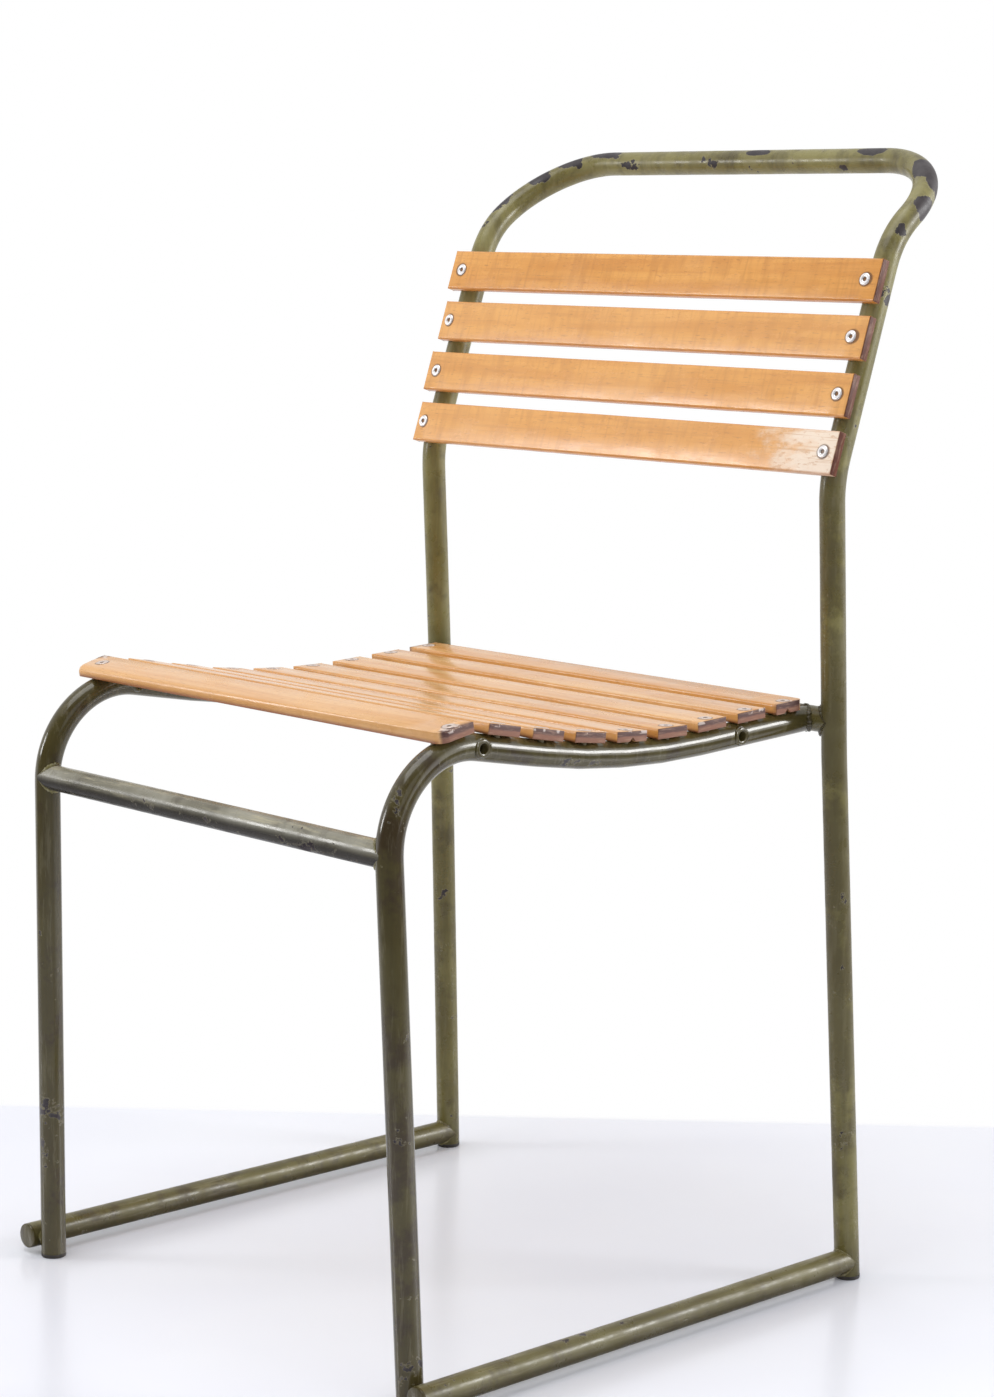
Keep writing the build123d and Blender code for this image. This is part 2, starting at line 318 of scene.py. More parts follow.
def bent_tube(route, steps):
    """Tube drawn along a route: a ring is extruded along the runs and spun round the bends."""
    run_step, bend_step = steps
    heading = route[0]["end"] - route[0]["start"]
    clear_selection()
    bpy.ops.mesh.primitive_circle_add(
        vertices=tube_sides, radius=tube_radius, location=route[0]["start"], rotation=turn_towards(heading)
    )
    tube = bpy.context.object
    bpy.ops.object.mode_set(mode="EDIT")
    bpy.ops.mesh.select_all(action="SELECT")
    for step in route:
        if step["turn"]:
            count = max(2, round(math.degrees(step["turn"]) / bend_step))
            bpy.ops.mesh.spin(steps=count, angle=step["turn"], center=step["centre"], axis=-step["axis"])
        else:
            count = max(1, round(step["length"] / run_step))
            stride = (step["end"] - step["start"]) / count
            for _ in range(count):
                bpy.ops.mesh.extrude_region_move(TRANSFORM_OT_translate={"value": stride})
    bpy.ops.object.mode_set(mode="OBJECT")
    close_up(tube)
    settle(tube, tube_smooth)
    return tube


def straight_tube(start, end):
    """Tube from one point to another."""
    return bent_tube(tube_route([start, end], []), straight_tube_steps)


def trim_at_floor(tube):
    """Cut a leg's tube level, above its foot plug."""
    take_up(tube)
    bpy.ops.object.mode_set(mode="EDIT")
    bpy.ops.mesh.select_all(action="SELECT")
    bpy.ops.mesh.bisect(plane_co=(0, 0, foot_height), plane_no=(0, 0, 1), use_fill=True, clear_inner=True)
    bpy.ops.object.mode_set(mode="OBJECT")


def turned(profile, sides):
    """Ring shape turned about Z: a circle is extruded and sized from point to point of a profile."""
    clear_selection()
    radius, height = profile[0]
    bpy.ops.mesh.primitive_circle_add(vertices=sides, radius=radius, location=(0, 0, height))
    piece = bpy.context.object
    bpy.ops.object.transform_apply(location=True, rotation=True, scale=True)
    bpy.ops.object.mode_set(mode="EDIT")
    bpy.ops.mesh.select_all(action="SELECT")
    for next_radius, next_height in profile[1:]:
        bpy.ops.mesh.extrude_region_move(TRANSFORM_OT_translate={"value": (0, 0, next_height - height)})
        share = next_radius / radius
        bpy.ops.transform.resize(value=(share, share, 1), center_override=(0, 0, next_height))
        radius, height = next_radius, next_height
    bpy.ops.object.mode_set(mode="OBJECT")
    close_up(piece)
    return piece


def plain_ring(radius, size, sides):
    """Round ring about Z, to be shaped into a bead."""
    clear_selection()
    bpy.ops.mesh.primitive_torus_add(
        major_radius=radius, minor_radius=size, major_segments=sides, minor_segments=bead_round_sides,
        location=(0, 0, 0),
    )
    return bpy.context.object


# Finishes
def finish_tree(name):
    """New material with its shader, and a note of its object coordinates."""
    material = bpy.data.materials.new(name)
    material.use_nodes = True
    tree = material.node_tree
    shader = tree.nodes["Principled BSDF"]
    place = tree.nodes.new("ShaderNodeTexCoord").outputs["Object"]
    return material, tree, shader, place


def feed(tree, socket, value):
    """Link an output to a socket, or set the socket's value."""
    if isinstance(value, bpy.types.NodeSocket):
        tree.links.new(value, socket)
    else:
        socket.default_value = value


def stretched(tree, place, scale=(1, 1, 1), shift=(0, 0, 0)):
    """Coordinates scaled and shifted for a pattern."""
    node = tree.nodes.new("ShaderNodeMapping")
    node.inputs["Scale"].default_value = scale
    node.inputs["Location"].default_value = shift
    tree.links.new(place, node.inputs["Vector"])
    return node.outputs["Vector"]


def cloudy(tree, place, scale, detail=4.0, roughness=0.55, distortion=0.0):
    """Soft random pattern, 0 to 1."""
    node = tree.nodes.new("ShaderNodeTexNoise")
    node.inputs["Scale"].default_value = scale
    node.inputs["Detail"].default_value = detail
    node.inputs["Roughness"].default_value = roughness
    node.inputs["Distortion"].default_value = distortion
    tree.links.new(place, node.inputs["Vector"])
    return node.outputs["Fac"]


def between(tree, value, low, high, to_low=0.0, to_high=1.0):
    """Smooth step of a value between two limits."""
    node = tree.nodes.new("ShaderNodeMapRange")
    node.interpolation_type = "SMOOTHSTEP"
    feed(tree, node.inputs["Value"], value)
    node.inputs["From Min"].default_value = low
    node.inputs["From Max"].default_value = high
    node.inputs["To Min"].default_value = to_low
    node.inputs["To Max"].default_value = to_high
    return node.outputs["Result"]


def sums(tree, operation, first, second):
    """Arithmetic on two values."""
    node = tree.nodes.new("ShaderNodeMath")
    node.operation = operation
    feed(tree, node.inputs[0], first)
    feed(tree, node.inputs[1], second)
    return node.outputs["Value"]


def times(tree, first, second):
    """Product of two values."""
    return sums(tree, "MULTIPLY", first, second)


def raised(tree, value, extra, gain):
    """Value with another, times a gain, added to it."""
    return sums(tree, "ADD", value, times(tree, extra, gain))


def blend_colour(tree, share, first, second):
    """Mix of two colours by a share."""
    node = tree.nodes.new("ShaderNodeMix")
    node.data_type = "RGBA"
    feed(tree, node.inputs["Factor"], share)
    feed(tree, node.inputs["A"], first)
    feed(tree, node.inputs["B"], second)
    return node.outputs["Result"]


def tinted(tree, colour, share, strength, tint):
    """Colour with a tint laid over it, at most at a strength."""
    return blend_colour(tree, times(tree, share, strength), colour, tint)


def axes(tree, place):
    """The three coordinates of a place."""
    node = tree.nodes.new("ShaderNodeSeparateXYZ")
    tree.links.new(place, node.inputs["Vector"])
    return node.outputs


def distance_out(tree, place):
    """Distance of a place from the origin."""
    node = tree.nodes.new("ShaderNodeVectorMath")
    node.operation = "LENGTH"
    tree.links.new(place, node.inputs[0])
    return node.outputs["Value"]


def run_towards(tree, place, direction):
    """How far a place lies in a direction."""
    node = tree.nodes.new("ShaderNodeVectorMath")
    node.operation = "DOT_PRODUCT"
    node.inputs[1].default_value = direction
    tree.links.new(place, node.inputs[0])
    return node.outputs["Value"]


def near_spot(tree, place, spot, reach):
    """1 in the middle of an oval spot, falling to 0 at its rim."""
    scale = [1 / size for size in reach]
    shift = [-centre / size for centre, size in zip(spot, reach)]
    return between(tree, distance_out(tree, stretched(tree, place, scale, shift)), 0.25, 1.0, 1.0, 0.0)


def attribute(tree, name):
    """A mark that the piece's own mesh carries."""
    node = tree.nodes.new("ShaderNodeAttribute")
    node.attribute_name = name
    return node.outputs["Vector"]


def relief(tree, shader, height, depth, strength):
    """Bump from a height."""
    node = tree.nodes.new("ShaderNodeBump")
    node.inputs["Distance"].default_value = depth
    node.inputs["Strength"].default_value = strength
    tree.links.new(height, node.inputs["Height"])
    tree.links.new(node.outputs["Normal"], shader.inputs["Normal"])


def shade(red, green, blue):
    """Colour from 0 to 255 values as they look on a screen."""
    def level(value):
        value = value / 255
        return value / 12.92 if value <= 0.04045 else ((value + 0.055) / 1.055) ** 2.4
    return (level(red), level(green), level(blue), 1.0)


def mixed(first, second, share):
    """Colour between two colours."""
    return tuple(one + (other - one) * share for one, other in zip(first, second))


# Paint colours
olive = shade(115, 107, 60)
olive_light = shade(138, 131, 81)
olive_dull = shade(54, 45, 22)
stain_brown = shade(56, 44, 32)
primer = shade(44, 36, 40)
bare_steel = shade(104, 98, 96)
grey_olive = shade(124, 120, 103)
grey_olive_light = shade(164, 161, 146)
rubbed_edge = shade(178, 170, 142)
rail_shadow = shade(46, 42, 38)

# How paint wears: the limits of chips and of their pale rims, and how much each kind of wear shows
chip_limits = (0.630, 0.645)
rim_limits = (0.612, 0.630)
chip_depth = 0.16 * MM
chip_roughness = 0.14
coarse_share = 0.66
fine_share = 0.34
grime_share = 0.50
rim_share = 0.30
peel_share = 0.10
full_shine = 0.5
low_shine = 0.08


def worn_paint(name, worn, dulled, stained, rubbed, steel_share, streaks, polish, chips=(), stains=(),
               base=(olive, olive_light), low=None):
    """Olive paint, stained, chipped to dark primer and rubbed to steel, most of all near some spots."""
    material, tree, shader, place = finish_tree(name)

    # Two tones, grime along the tube, stains and scuffs
    tone = between(tree, cloudy(tree, place, scale=16), 0.35, 0.68)
    paint = blend_colour(tree, tone, mixed(base[0], olive_dull, dulled), mixed(base[1], olive_dull, dulled))
    grime = cloudy(tree, stretched(tree, place, streaks), scale=1.0, detail=5, roughness=0.65)
    paint = tinted(tree, paint, between(tree, grime, 0.45, 0.72), grime_share, olive_dull)
    blotch = cloudy(tree, stretched(tree, place, shift=(3, 1, 2)), scale=38, detail=7, roughness=0.65)
    for spot, reach, gain in stains:
        blotch = raised(tree, blotch, near_spot(tree, place, spot, reach), gain)
    paint = tinted(tree, paint, between(tree, blotch, 0.50, 0.68), stained, stain_brown)
    scuff = cloudy(tree, stretched(tree, place, streaks, (5, 2, 7)), scale=3.2, detail=4, roughness=0.7)
    paint = tinted(tree, paint, between(tree, scuff, 0.50, 0.68), rubbed, rubbed_edge)

    # Darker and duller towards the underside, with less shine there: painted shade on the lower halves of
    # the front rail and the runners
    if low:
        low_colour, low_share, dark_height, clear_height = low
        darkened = between(tree, axes(tree, place)["Z"], dark_height, clear_height, low_share, 0.0)
        paint = blend_colour(tree, darkened, paint, low_colour)
        shine = between(tree, darkened, 0.0, 1.0, full_shine, low_shine)
        tree.links.new(shine, shader.inputs["Specular IOR Level"])

    # Chips with pale rims, down to primer and to rubbed steel
    coarse = cloudy(tree, place, scale=46, detail=8, roughness=0.62, distortion=0.4)
    fine = cloudy(tree, stretched(tree, place, shift=(7, 4, 9)), scale=190, detail=6, roughness=0.6)
    field = raised(tree, times(tree, coarse, coarse_share), fine, fine_share)
    field = sums(tree, "ADD", field, worn)
    for spot, reach, gain in chips:
        field = raised(tree, field, near_spot(tree, place, spot, reach), gain)
    chipped = between(tree, field, *chip_limits)
    rim = sums(tree, "SUBTRACT", between(tree, field, *rim_limits), chipped)
    steel = cloudy(tree, stretched(tree, place, streaks, (2, 5, 1)), scale=1.6, detail=6, roughness=0.6)
    under = tinted(tree, primer, between(tree, steel, 0.45, 0.62), steel_share, bare_steel)
    colour = tinted(tree, paint, rim, rim_share, rubbed_edge)
    colour = blend_colour(tree, chipped, colour, under)
    tree.links.new(colour, shader.inputs["Base Color"])

    smear = cloudy(tree, stretched(tree, place, shift=(1, 8, 3)), scale=70, detail=5, roughness=0.6)
    gloss = between(tree, smear, 0.3, 0.7, polish, 2 * polish)
    tree.links.new(raised(tree, gloss, chipped, chip_roughness), shader.inputs["Roughness"])
    peel = cloudy(tree, place, scale=420, detail=2, roughness=0.5)
    height = sums(tree, "SUBTRACT", times(tree, peel, peel_share), chipped)
    relief(tree, shader, height, chip_depth, strength=0.55)
    return material


# Stretch of the streaks on each kind of tube
upright_streaks = (60, 60, 6)
cross_streaks = (6, 70, 70)
runner_streaks = (70, 6, 70)
weld_streaks = (60, 60, 60)

# Chips and stains: the middle of each spot, its reach, and how much it adds to the wear there
back_chips = [
    ((0.206, 0.250, 0.842), (0.022, 0.022, 0.020), 0.40),
    ((0.221, 0.246, 0.828), (0.014, 0.026, 0.022), 0.36),
    ((0.228, 0.220, 0.808), (0.011, 0.016, 0.018), 0.40),
    ((0.226, 0.194, 0.791), (0.008, 0.010, 0.010), 0.20),
    ((0.226, 0.178, 0.748), (0.008, 0.010, 0.030), 0.14),
    ((0.137, 0.264, 0.852), (0.021, 0.009, 0.006), 0.40),
    ((0.020, 0.264, 0.852), (0.019, 0.009, 0.005), 0.40),
    ((0.111, 0.261, 0.838), (0.007, 0.006, 0.004), 0.22),
    ((-0.030, 0.262, 0.845), (0.016, 0.008, 0.006), 0.13),
    ((-0.118, 0.262, 0.843), (0.018, 0.008, 0.008), 0.15),
    ((-0.150, 0.264, 0.852), (0.030, 0.010, 0.007), 0.30),
    ((-0.188, 0.256, 0.846), (0.026, 0.016, 0.010), 0.30),
    ((-0.208, 0.240, 0.832), (0.016, 0.020, 0.016), 0.26),
    ((-0.219, 0.210, 0.812), (0.009, 0.020, 0.018), 0.20),
    ((-0.218, 0.190, 0.792), (0.008, 0.010, 0.012), 0.16),
]
back_stains = [
    ((0.222, 0.140, 0.44), (0.02, 0.02, 0.06), 0.18),
    ((0.222, 0.150, 0.28), (0.03, 0.04, 0.30), 0.20),
    ((0.219, 0.142, 0.56), (0.03, 0.04, 0.15), 0.22),
]
side_chips = [
    ((0.193, -0.262, 0.430), (0.03, 0.03, 0.03), 0.08),
    ((0.199, -0.267, 0.395), (0.03, 0.03, 0.05), 0.07),
    ((0.207, -0.262, 0.06), (0.03, 0.03, 0.10), 0.05),
    ((-0.205, -0.262, 0.11), (0.03, 0.03, 0.04), 0.09),
    ((-0.198, -0.267, 0.24), (0.03, 0.03, 0.03), 0.08),
    ((0.197, -0.10, 0.427), (0.02, 0.05, 0.02), 0.07),
]
side_stains = [
    ((0.200, -0.267, 0.39), (0.03, 0.03, 0.06), 0.16),
    ((0.204, -0.265, 0.15), (0.03, 0.03, 0.14), 0.07),
]
front_rail_chips = [
    ((-0.04, -0.278, 0.378), (0.10, 0.012, 0.008), 0.06),
    ((0.13, -0.280, 0.372), (0.07, 0.012, 0.009), 0.12),
    ((-0.15, -0.280, 0.371), (0.03, 0.012, 0.006), 0.12),
]
runner_chips = [
    ((0.227, -0.26, 0.018), (0.02, 0.05, 0.02), 0.07),
    ((0.227, -0.12, 0.022), (0.02, 0.09, 0.02), 0.05),
    ((-0.227, -0.26, 0.018), (0.02, 0.05, 0.02), 0.07),
]

# The low values paint shade low down on the front rail and the runners, and darken the back frame below the
# seat: colour, share, and the heights from dark to clear
back_paint = worn_paint(
    "back_frame_paint", worn=0.0, dulled=0.0, stained=0.48, rubbed=0.10, steel_share=0.15,
    streaks=upright_streaks, polish=0.22, chips=back_chips, stains=back_stains,
    low=(olive_dull, 0.28, 0.40, 0.60),
)
side_paint = worn_paint(
    "side_tube_paint", worn=-0.010, dulled=0.80, stained=0.75, rubbed=0.10, steel_share=0.30,
    streaks=upright_streaks, polish=0.10, chips=side_chips, stains=side_stains,
)
# Painted shade: the front rail's lower half is darker and less shiny
rail_paint = worn_paint(
    "front_rail_paint", worn=-0.005, dulled=0.15, stained=0.45, rubbed=0.80, steel_share=0.60,
    streaks=cross_streaks, polish=0.18, chips=front_rail_chips,
    base=(grey_olive, grey_olive_light), low=(rail_shadow, 0.95, 0.3758, 0.3838),
)
rear_rail_paint = worn_paint(
    "rear_rail_paint", worn=-0.01, dulled=0.60, stained=0.6, rubbed=0.15, steel_share=0.3,
    streaks=cross_streaks, polish=0.18,
)
# Painted shade: the runners' lower halves are darker and less shiny
runner_paint = worn_paint(
    "runner_paint", worn=-0.01, dulled=0.42, stained=0.60, rubbed=0.20, steel_share=0.45,
    streaks=runner_streaks, polish=0.24, chips=runner_chips, low=(olive_dull, 0.75, 0.008, 0.018),
)
weld_paint = worn_paint(
    "weld_paint", worn=0.02, dulled=0.25, stained=0.7, rubbed=0.35, steel_share=0.5,
    streaks=weld_streaks, polish=0.22,
)
dark_weld_paint = worn_paint(
    "dark_weld_paint", worn=0.04, dulled=0.90, stained=0.9, rubbed=0.08, steel_share=0.2,
    streaks=weld_streaks, polish=0.22,
)

# Wood tints
streak_brown = shade(140, 72, 22)
ripple_brown = shade(150, 84, 22)
fleck_brown = shade(142, 76, 26)
cloud_cream = shade(246, 206, 156)
pale_varnish = shade(240, 190, 134)
deep_varnish = shade(204, 130, 40)
tone_strength = 0.60
dry_wood = shade(246, 228, 208)
dry_crack = shade(206, 160, 116)
# Colour of the painted shadow round the rivet heads
rivet_shadow_brown = shade(92, 62, 44)
# Colour of the painted shadow along the lowest band of the slats' sides
under_shadow_brown = shade(142, 80, 46)
rubbed_end = shade(214, 180, 150)
end_chip = shade(236, 222, 212)

# Reach of the painted shadow round a rivet, heights of the painted shadow under a slat, of the dark layer
# on its ends and of its chips, and depth of its grain
rivet_shadow_reach = (5.0 * MM, 6.4 * MM)
under_shadow_layer = (0.4 * MM, 3.6 * MM)
end_layer = (3.0 * MM, 4.8 * MM)
end_layer_wander = 5 * MM
chip_layer = (5.2 * MM, 6.6 * MM)
grain_depth = 0.10 * MM


def make_slat_wood(name, deep, pale, ripple_share, side_tint, end_top, end_low, chip_share):
    """Varnished beech: lengthwise figure, cross ripple, short flecks, rubbed edges and dark ends."""
    material, tree, shader, _ = finish_tree(name)
    place = axes(tree, attribute(tree, "board"))
    along = attribute(tree, "grain")
    marks = axes(tree, attribute(tree, "mark"))
    wear = axes(tree, attribute(tree, "wear"))

    def grain(stretch, shift, detail, roughness, distortion=0.0):
        """Random pattern stretched along and across the slat."""
        return cloudy(tree, stretched(tree, along, stretch, shift), 1.0, detail, roughness, distortion)

    figure = grain((5, 90, 90), (0, 0, 0), detail=5, roughness=0.6, distortion=0.6)
    colour = blend_colour(tree, between(tree, figure, 0.32, 0.68), deep, pale)
    streak = grain((9, 420, 420), (1, 2, 3), detail=4, roughness=0.65)
    streak_tint = mixed(deep, streak_brown, 0.55)
    colour = tinted(tree, colour, between(tree, streak, 0.52, 0.70), 0.42, streak_tint)
    band = grain((95, 26, 26), (2, 8, 4), detail=3, roughness=0.6)
    ripple = grain((300, 34, 34), (7, 3, 2), detail=2, roughness=0.5)
    ripple_tint = mixed(deep, ripple_brown, 0.5)
    colour = tinted(tree, colour, between(tree, band, 0.46, 0.68), ripple_share, ripple_tint)
    colour = tinted(tree, colour, between(tree, ripple, 0.50, 0.72), ripple_share, ripple_tint)
    fleck = grain((150, 800, 800), (4, 1, 6), detail=2, roughness=0.5)
    colour = tinted(tree, colour, between(tree, fleck, 0.60, 0.72), 0.55, fleck_brown)
    cloud = grain((9, 22, 22), (9, 3, 5), detail=3, roughness=0.5)
    colour = tinted(tree, colour, between(tree, cloud, 0.45, 0.75), 0.30, mixed(pale, cloud_cream, 0.5))
    tone = marks["X"]
    colour = tinted(tree, colour, between(tree, tone, 0.0, 1.0), tone_strength, pale_varnish)
    colour = tinted(tree, colour, between(tree, tone, 0.0, -1.0), tone_strength, deep_varnish)

    # Varnish worn off to pale dry wood, with cracks along the grain
    crack = grain((14, 700, 700), (8, 8, 3), detail=3, roughness=0.6)
    craze = grain((160, 330, 330), (1, 6, 2), detail=4, roughness=0.65)
    cracked = sums(tree, "MAXIMUM", between(tree, crack, 0.58, 0.66), between(tree, craze, 0.56, 0.64))
    dry = tinted(tree, dry_wood, cracked, 0.55, dry_crack)
    ragged = grain((60, 120, 120), (2, 2, 9), detail=5, roughness=0.65)
    bare = between(tree, raised(tree, wear["X"], ragged, 0.9), 0.70, 1.25)
    colour = blend_colour(tree, bare, colour, dry)

    # Painted shadow: a dark ring round each rivet head
    ring = tree.nodes.new("ShaderNodeCombineXYZ")
    tree.links.new(place["X"], ring.inputs["X"])
    tree.links.new(place["Y"], ring.inputs["Y"])
    halo = between(tree, distance_out(tree, ring.outputs["Vector"]), *rivet_shadow_reach, 1.0, 0.0)
    colour = tinted(tree, colour, halo, 0.80, rivet_shadow_brown)

    # Painted shade: the sides are darker, in patches, and most of all low down, where a painted shadow lies
    # under the slat
    side = between(tree, marks["Y"], 0.35, 0.95)
    rough_patch = grain((60, 160, 160), (6, 6, 1), detail=5, roughness=0.65)
    dark_share = times(tree, side, between(tree, rough_patch, 0.30, 0.62, 0.35, 0.9))
    colour = tinted(tree, colour, dark_share, 0.60, side_tint)
    under = times(tree, side, between(tree, place["Z"], *under_shadow_layer, 1, 0))
    colour = tinted(tree, colour, under, 0.85, under_shadow_brown)

    # The ends are dark and dirty, with a darker layer on top and small pale chips
    end = marks["Z"]
    end_patch = grain((220, 90, 700), (3, 7, 2), detail=5, roughness=0.6)
    layer = raised(tree, place["Z"], sums(tree, "SUBTRACT", end_patch, 0.5), end_layer_wander)
    end_colour = blend_colour(tree, between(tree, layer, *end_layer), end_low, end_top)
    end_rub = mixed(end_low, rubbed_end, 0.5)
    end_colour = tinted(tree, end_colour, between(tree, end_patch, 0.50, 0.64), 0.35, end_rub)
    colour = blend_colour(tree, between(tree, end, 0.35, 0.75), colour, end_colour)
    chip_patch = grain((90, 110, 110), (1, 9, 4), detail=4, roughness=0.6)
    chip = times(tree, between(tree, end, 0.05, 0.5), between(tree, chip_patch, 0.56, 0.60))
    chip = times(tree, chip, between(tree, place["Z"], *chip_layer))
    colour = tinted(tree, colour, chip, chip_share, end_chip)
    tree.links.new(colour, shader.inputs["Base Color"])

    # Varnish film: glossy on the face, dull on the ends and on bare wood
    film = grain((30, 60, 60), (5, 5, 8), detail=4, roughness=0.6)
    gloss = between(tree, film, 0.3, 0.7, 0.17, 0.30)
    gloss = raised(tree, gloss, between(tree, end, 0.3, 0.8), 0.30)
    gloss = raised(tree, gloss, bare, 0.20)
    tree.links.new(gloss, shader.inputs["Roughness"])
    height = raised(tree, times(tree, streak, 0.6), end_patch, 0.25)
    height = sums(tree, "SUBTRACT", height, times(tree, bare, cracked))
    relief(tree, shader, height, grain_depth, strength=0.35)
    return material


# The seat's wood is paler and pinker than the back's: its own tone with a painted sheen, the glare of its
# varnish, laid into it
seat_wood = make_slat_wood(
    "seat_wood", deep=shade(210, 147, 82), pale=shade(231, 184, 128), ripple_share=0.10,
    side_tint=shade(206, 144, 66), end_top=shade(84, 53, 48), end_low=shade(140, 97, 78), chip_share=0.6,
)
back_wood = make_slat_wood(
    "back_wood", deep=shade(208, 136, 48), pale=shade(232, 166, 78), ripple_share=0.42,
    side_tint=shade(196, 124, 52), end_top=shade(84, 34, 12), end_low=shade(100, 46, 20), chip_share=0.0,
)

# Rivet metal
dull_nickel = shade(150, 138, 130)
# Colour of the painted shade inside the rivets' bores
bore_shade = shade(30, 24, 22)
tail_olive = mixed(olive, olive_dull, 0.5)
head_metallic = 0.55
scratch_depth = 0.05 * MM


def make_rivet_metal(name, low, high, smooth, rough):
    """Nickel on the rivet heads, painted shade in the bores and dull paint on the tails."""
    material, tree, shader, place = finish_tree(name)
    zone = axes(tree, attribute(tree, "zone"))
    cloud = cloudy(tree, place, scale=320, detail=4, roughness=0.6)
    dull = cloudy(tree, stretched(tree, place, shift=(3, 9, 4)), scale=140, detail=5, roughness=0.6)
    colour = blend_colour(tree, cloud, low, high)
    colour = tinted(tree, colour, between(tree, dull, 0.52, 0.72), 0.4, dull_nickel)
    colour = blend_colour(tree, zone["X"], colour, bore_shade)
    colour = tinted(tree, colour, zone["Y"], 0.9, tail_olive)
    tree.links.new(colour, shader.inputs["Base Color"])
    dark_share = sums(tree, "MAXIMUM", zone["X"], zone["Y"])
    tree.links.new(between(tree, dark_share, 0.0, 0.8, head_metallic, 0.0), shader.inputs["Metallic"])
    polish = between(tree, cloud, 0.3, 0.7, smooth, rough)
    tree.links.new(raised(tree, polish, dark_share, 0.30), shader.inputs["Roughness"])
    scratch = cloudy(tree, stretched(tree, place, (900, 200, 500)), scale=1.0, detail=3, roughness=0.6)
    relief(tree, shader, scratch, scratch_depth, strength=0.3)
    return material


# The seat's rivets are duller and pinker than the back's: partly a painted reflection of the wood round
# them
seat_rivet_metal = make_rivet_metal(
    "seat_rivet_metal", low=shade(206, 188, 180), high=shade(232, 218, 208), smooth=0.34, rough=0.52
)
back_rivet_metal = make_rivet_metal(
    "back_rivet_metal", low=shade(232, 228, 226), high=shade(250, 248, 250), smooth=0.30, rough=0.45
)

# Foot rubber
rubber_dark = shade(44, 40, 38)
rubber_dusty = shade(84, 77, 68)
rubber_depth = 0.08 * MM


def make_foot_rubber():
    """Dark plug material, dusty where it is rubbed."""
    material, tree, shader, place = finish_tree("foot_rubber")
    dust = between(tree, cloudy(tree, place, scale=150, detail=6, roughness=0.6), 0.45, 0.75)
    tree.links.new(blend_colour(tree, dust, rubber_dark, rubber_dusty), shader.inputs["Base Color"])
    tree.links.new(between(tree, dust, 0.0, 1.0, 0.55, 0.8), shader.inputs["Roughness"])
    pits = cloudy(tree, place, scale=500, detail=3, roughness=0.6)
    relief(tree, shader, pits, rubber_depth, strength=0.4)
    return material


foot_rubber = make_foot_rubber()

# Back frame
back_frame = bent_tube(back_route, back_tube_steps)
trim_at_floor(back_frame)
hand_over(back_frame, "back_frame_tube", back_paint, "frame_paint", "back_frame")

# Link bushes: short open tubes with rounded rims
bush_spots = {}
for end, (slat_number, lead) in bush_places.items():
    bush_spots[end] = on_route(side_route, seat_stations[slat_number - 1] - lead)[0]


def link_bush(spot):
    """Open bush through a seat rail, its rims rounded over."""
    middle = round_share * bush_rim
    length = 2 * bush_half_length
    near_rim = [
        (bush_bore, bush_rim), (bush_bore + middle, middle), (bush_bore + bush_rim, 0.0),
        (bush_radius - bush_rim, 0.0), (bush_radius - middle, middle), (bush_radius, bush_rim),
    ]
    far_rim = [(radius, length - height) for radius, height in reversed(near_rim)]
    bush = turned(near_rim + far_rim + near_rim[:1], bush_sides)
    bush.rotation_euler = turn_towards(rightward)
    bush.location = spot - Vector((bush_half_length, 0, 0))
    settle(bush, turned_smooth)
    return bush


def bush_collar(spot):
    """Rounded bead where a bush comes out of the side of its rail."""
    collar = plain_ring(bush_radius, collar_size, collar_sides)
    for point in collar.data.vertices:
        angle = math.atan2(point.co.y, point.co.x)
        climb = math.sin(angle) * bush_radius
        lump = 1.0 + 0.25 * noise.noise(point.co * 260 + spot * 40)
        ring = Vector((math.cos(angle), math.sin(angle), 0)) * bush_radius
        moved = ring + (point.co - ring) * lump
        out = math.sqrt(tube_radius ** 2 - climb ** 2)
        point.co = spot + Vector((out + moved.z, moved.x, moved.y))
    settle(collar, weld_smooth)
    return collar


# Side tubes, bored for the bushes
right_side = bent_tube(side_route, side_tube_steps)
trim_at_floor(right_side)
for spot in bush_spots.values():
    clear_selection()
    bpy.ops.mesh.primitive_cylinder_add(
        vertices=bush_sides, radius=bush_radius - bush_press, depth=4 * tube_radius, location=spot,
        rotation=turn_towards(rightward),
    )
    cut_away(right_side, bpy.context.object)
settle(right_side, tube_smooth)
hand_over_both(right_side, "SIDE_side_frame_tube", side_paint, "frame_paint", "SIDE_side_tube")
for end, spot in bush_spots.items():
    right_bush = link_bush(spot)
    hand_over_both(right_bush, f"{end}_SIDE_bush", side_paint, "frame_paint", f"{end}_SIDE_link_bush")
    hand_over_both(bush_collar(spot), f"{end}_SIDE_bush_collar", side_paint, "frame_paint")

# Cross rails and runners
front_rail_end = leg_at(front_leg_low, seat_front, front_rail_height)
rear_rail_end = leg_at(rear_leg_splay, back_knee, rear_rail_height)
front_rail = straight_tube(on_left(front_rail_end), front_rail_end)
hand_over(front_rail, "front_cross_rail_tube", rail_paint, "frame_paint", "front_cross_rail")
rear_rail = straight_tube(on_left(rear_rail_end), rear_rail_end)
hand_over(rear_rail, "rear_cross_rail_tube", rear_rail_paint, "frame_paint", "rear_cross_rail")
runner_rear = leg_at(rear_leg_low, rear_leg_splay, runner_height)
runner_leg = leg_at(front_leg_low, seat_front, runner_height)
runner_front = runner_leg.y - tube_radius - runner_nose + runner_flange
runner_tip = Vector((runner_rear.x, runner_front, runner_height))
right_runner = straight_tube(runner_tip, runner_rear)
hand_over_both(right_runner, "SIDE_runner_tube", runner_paint, "frame_paint", "SIDE_runner")


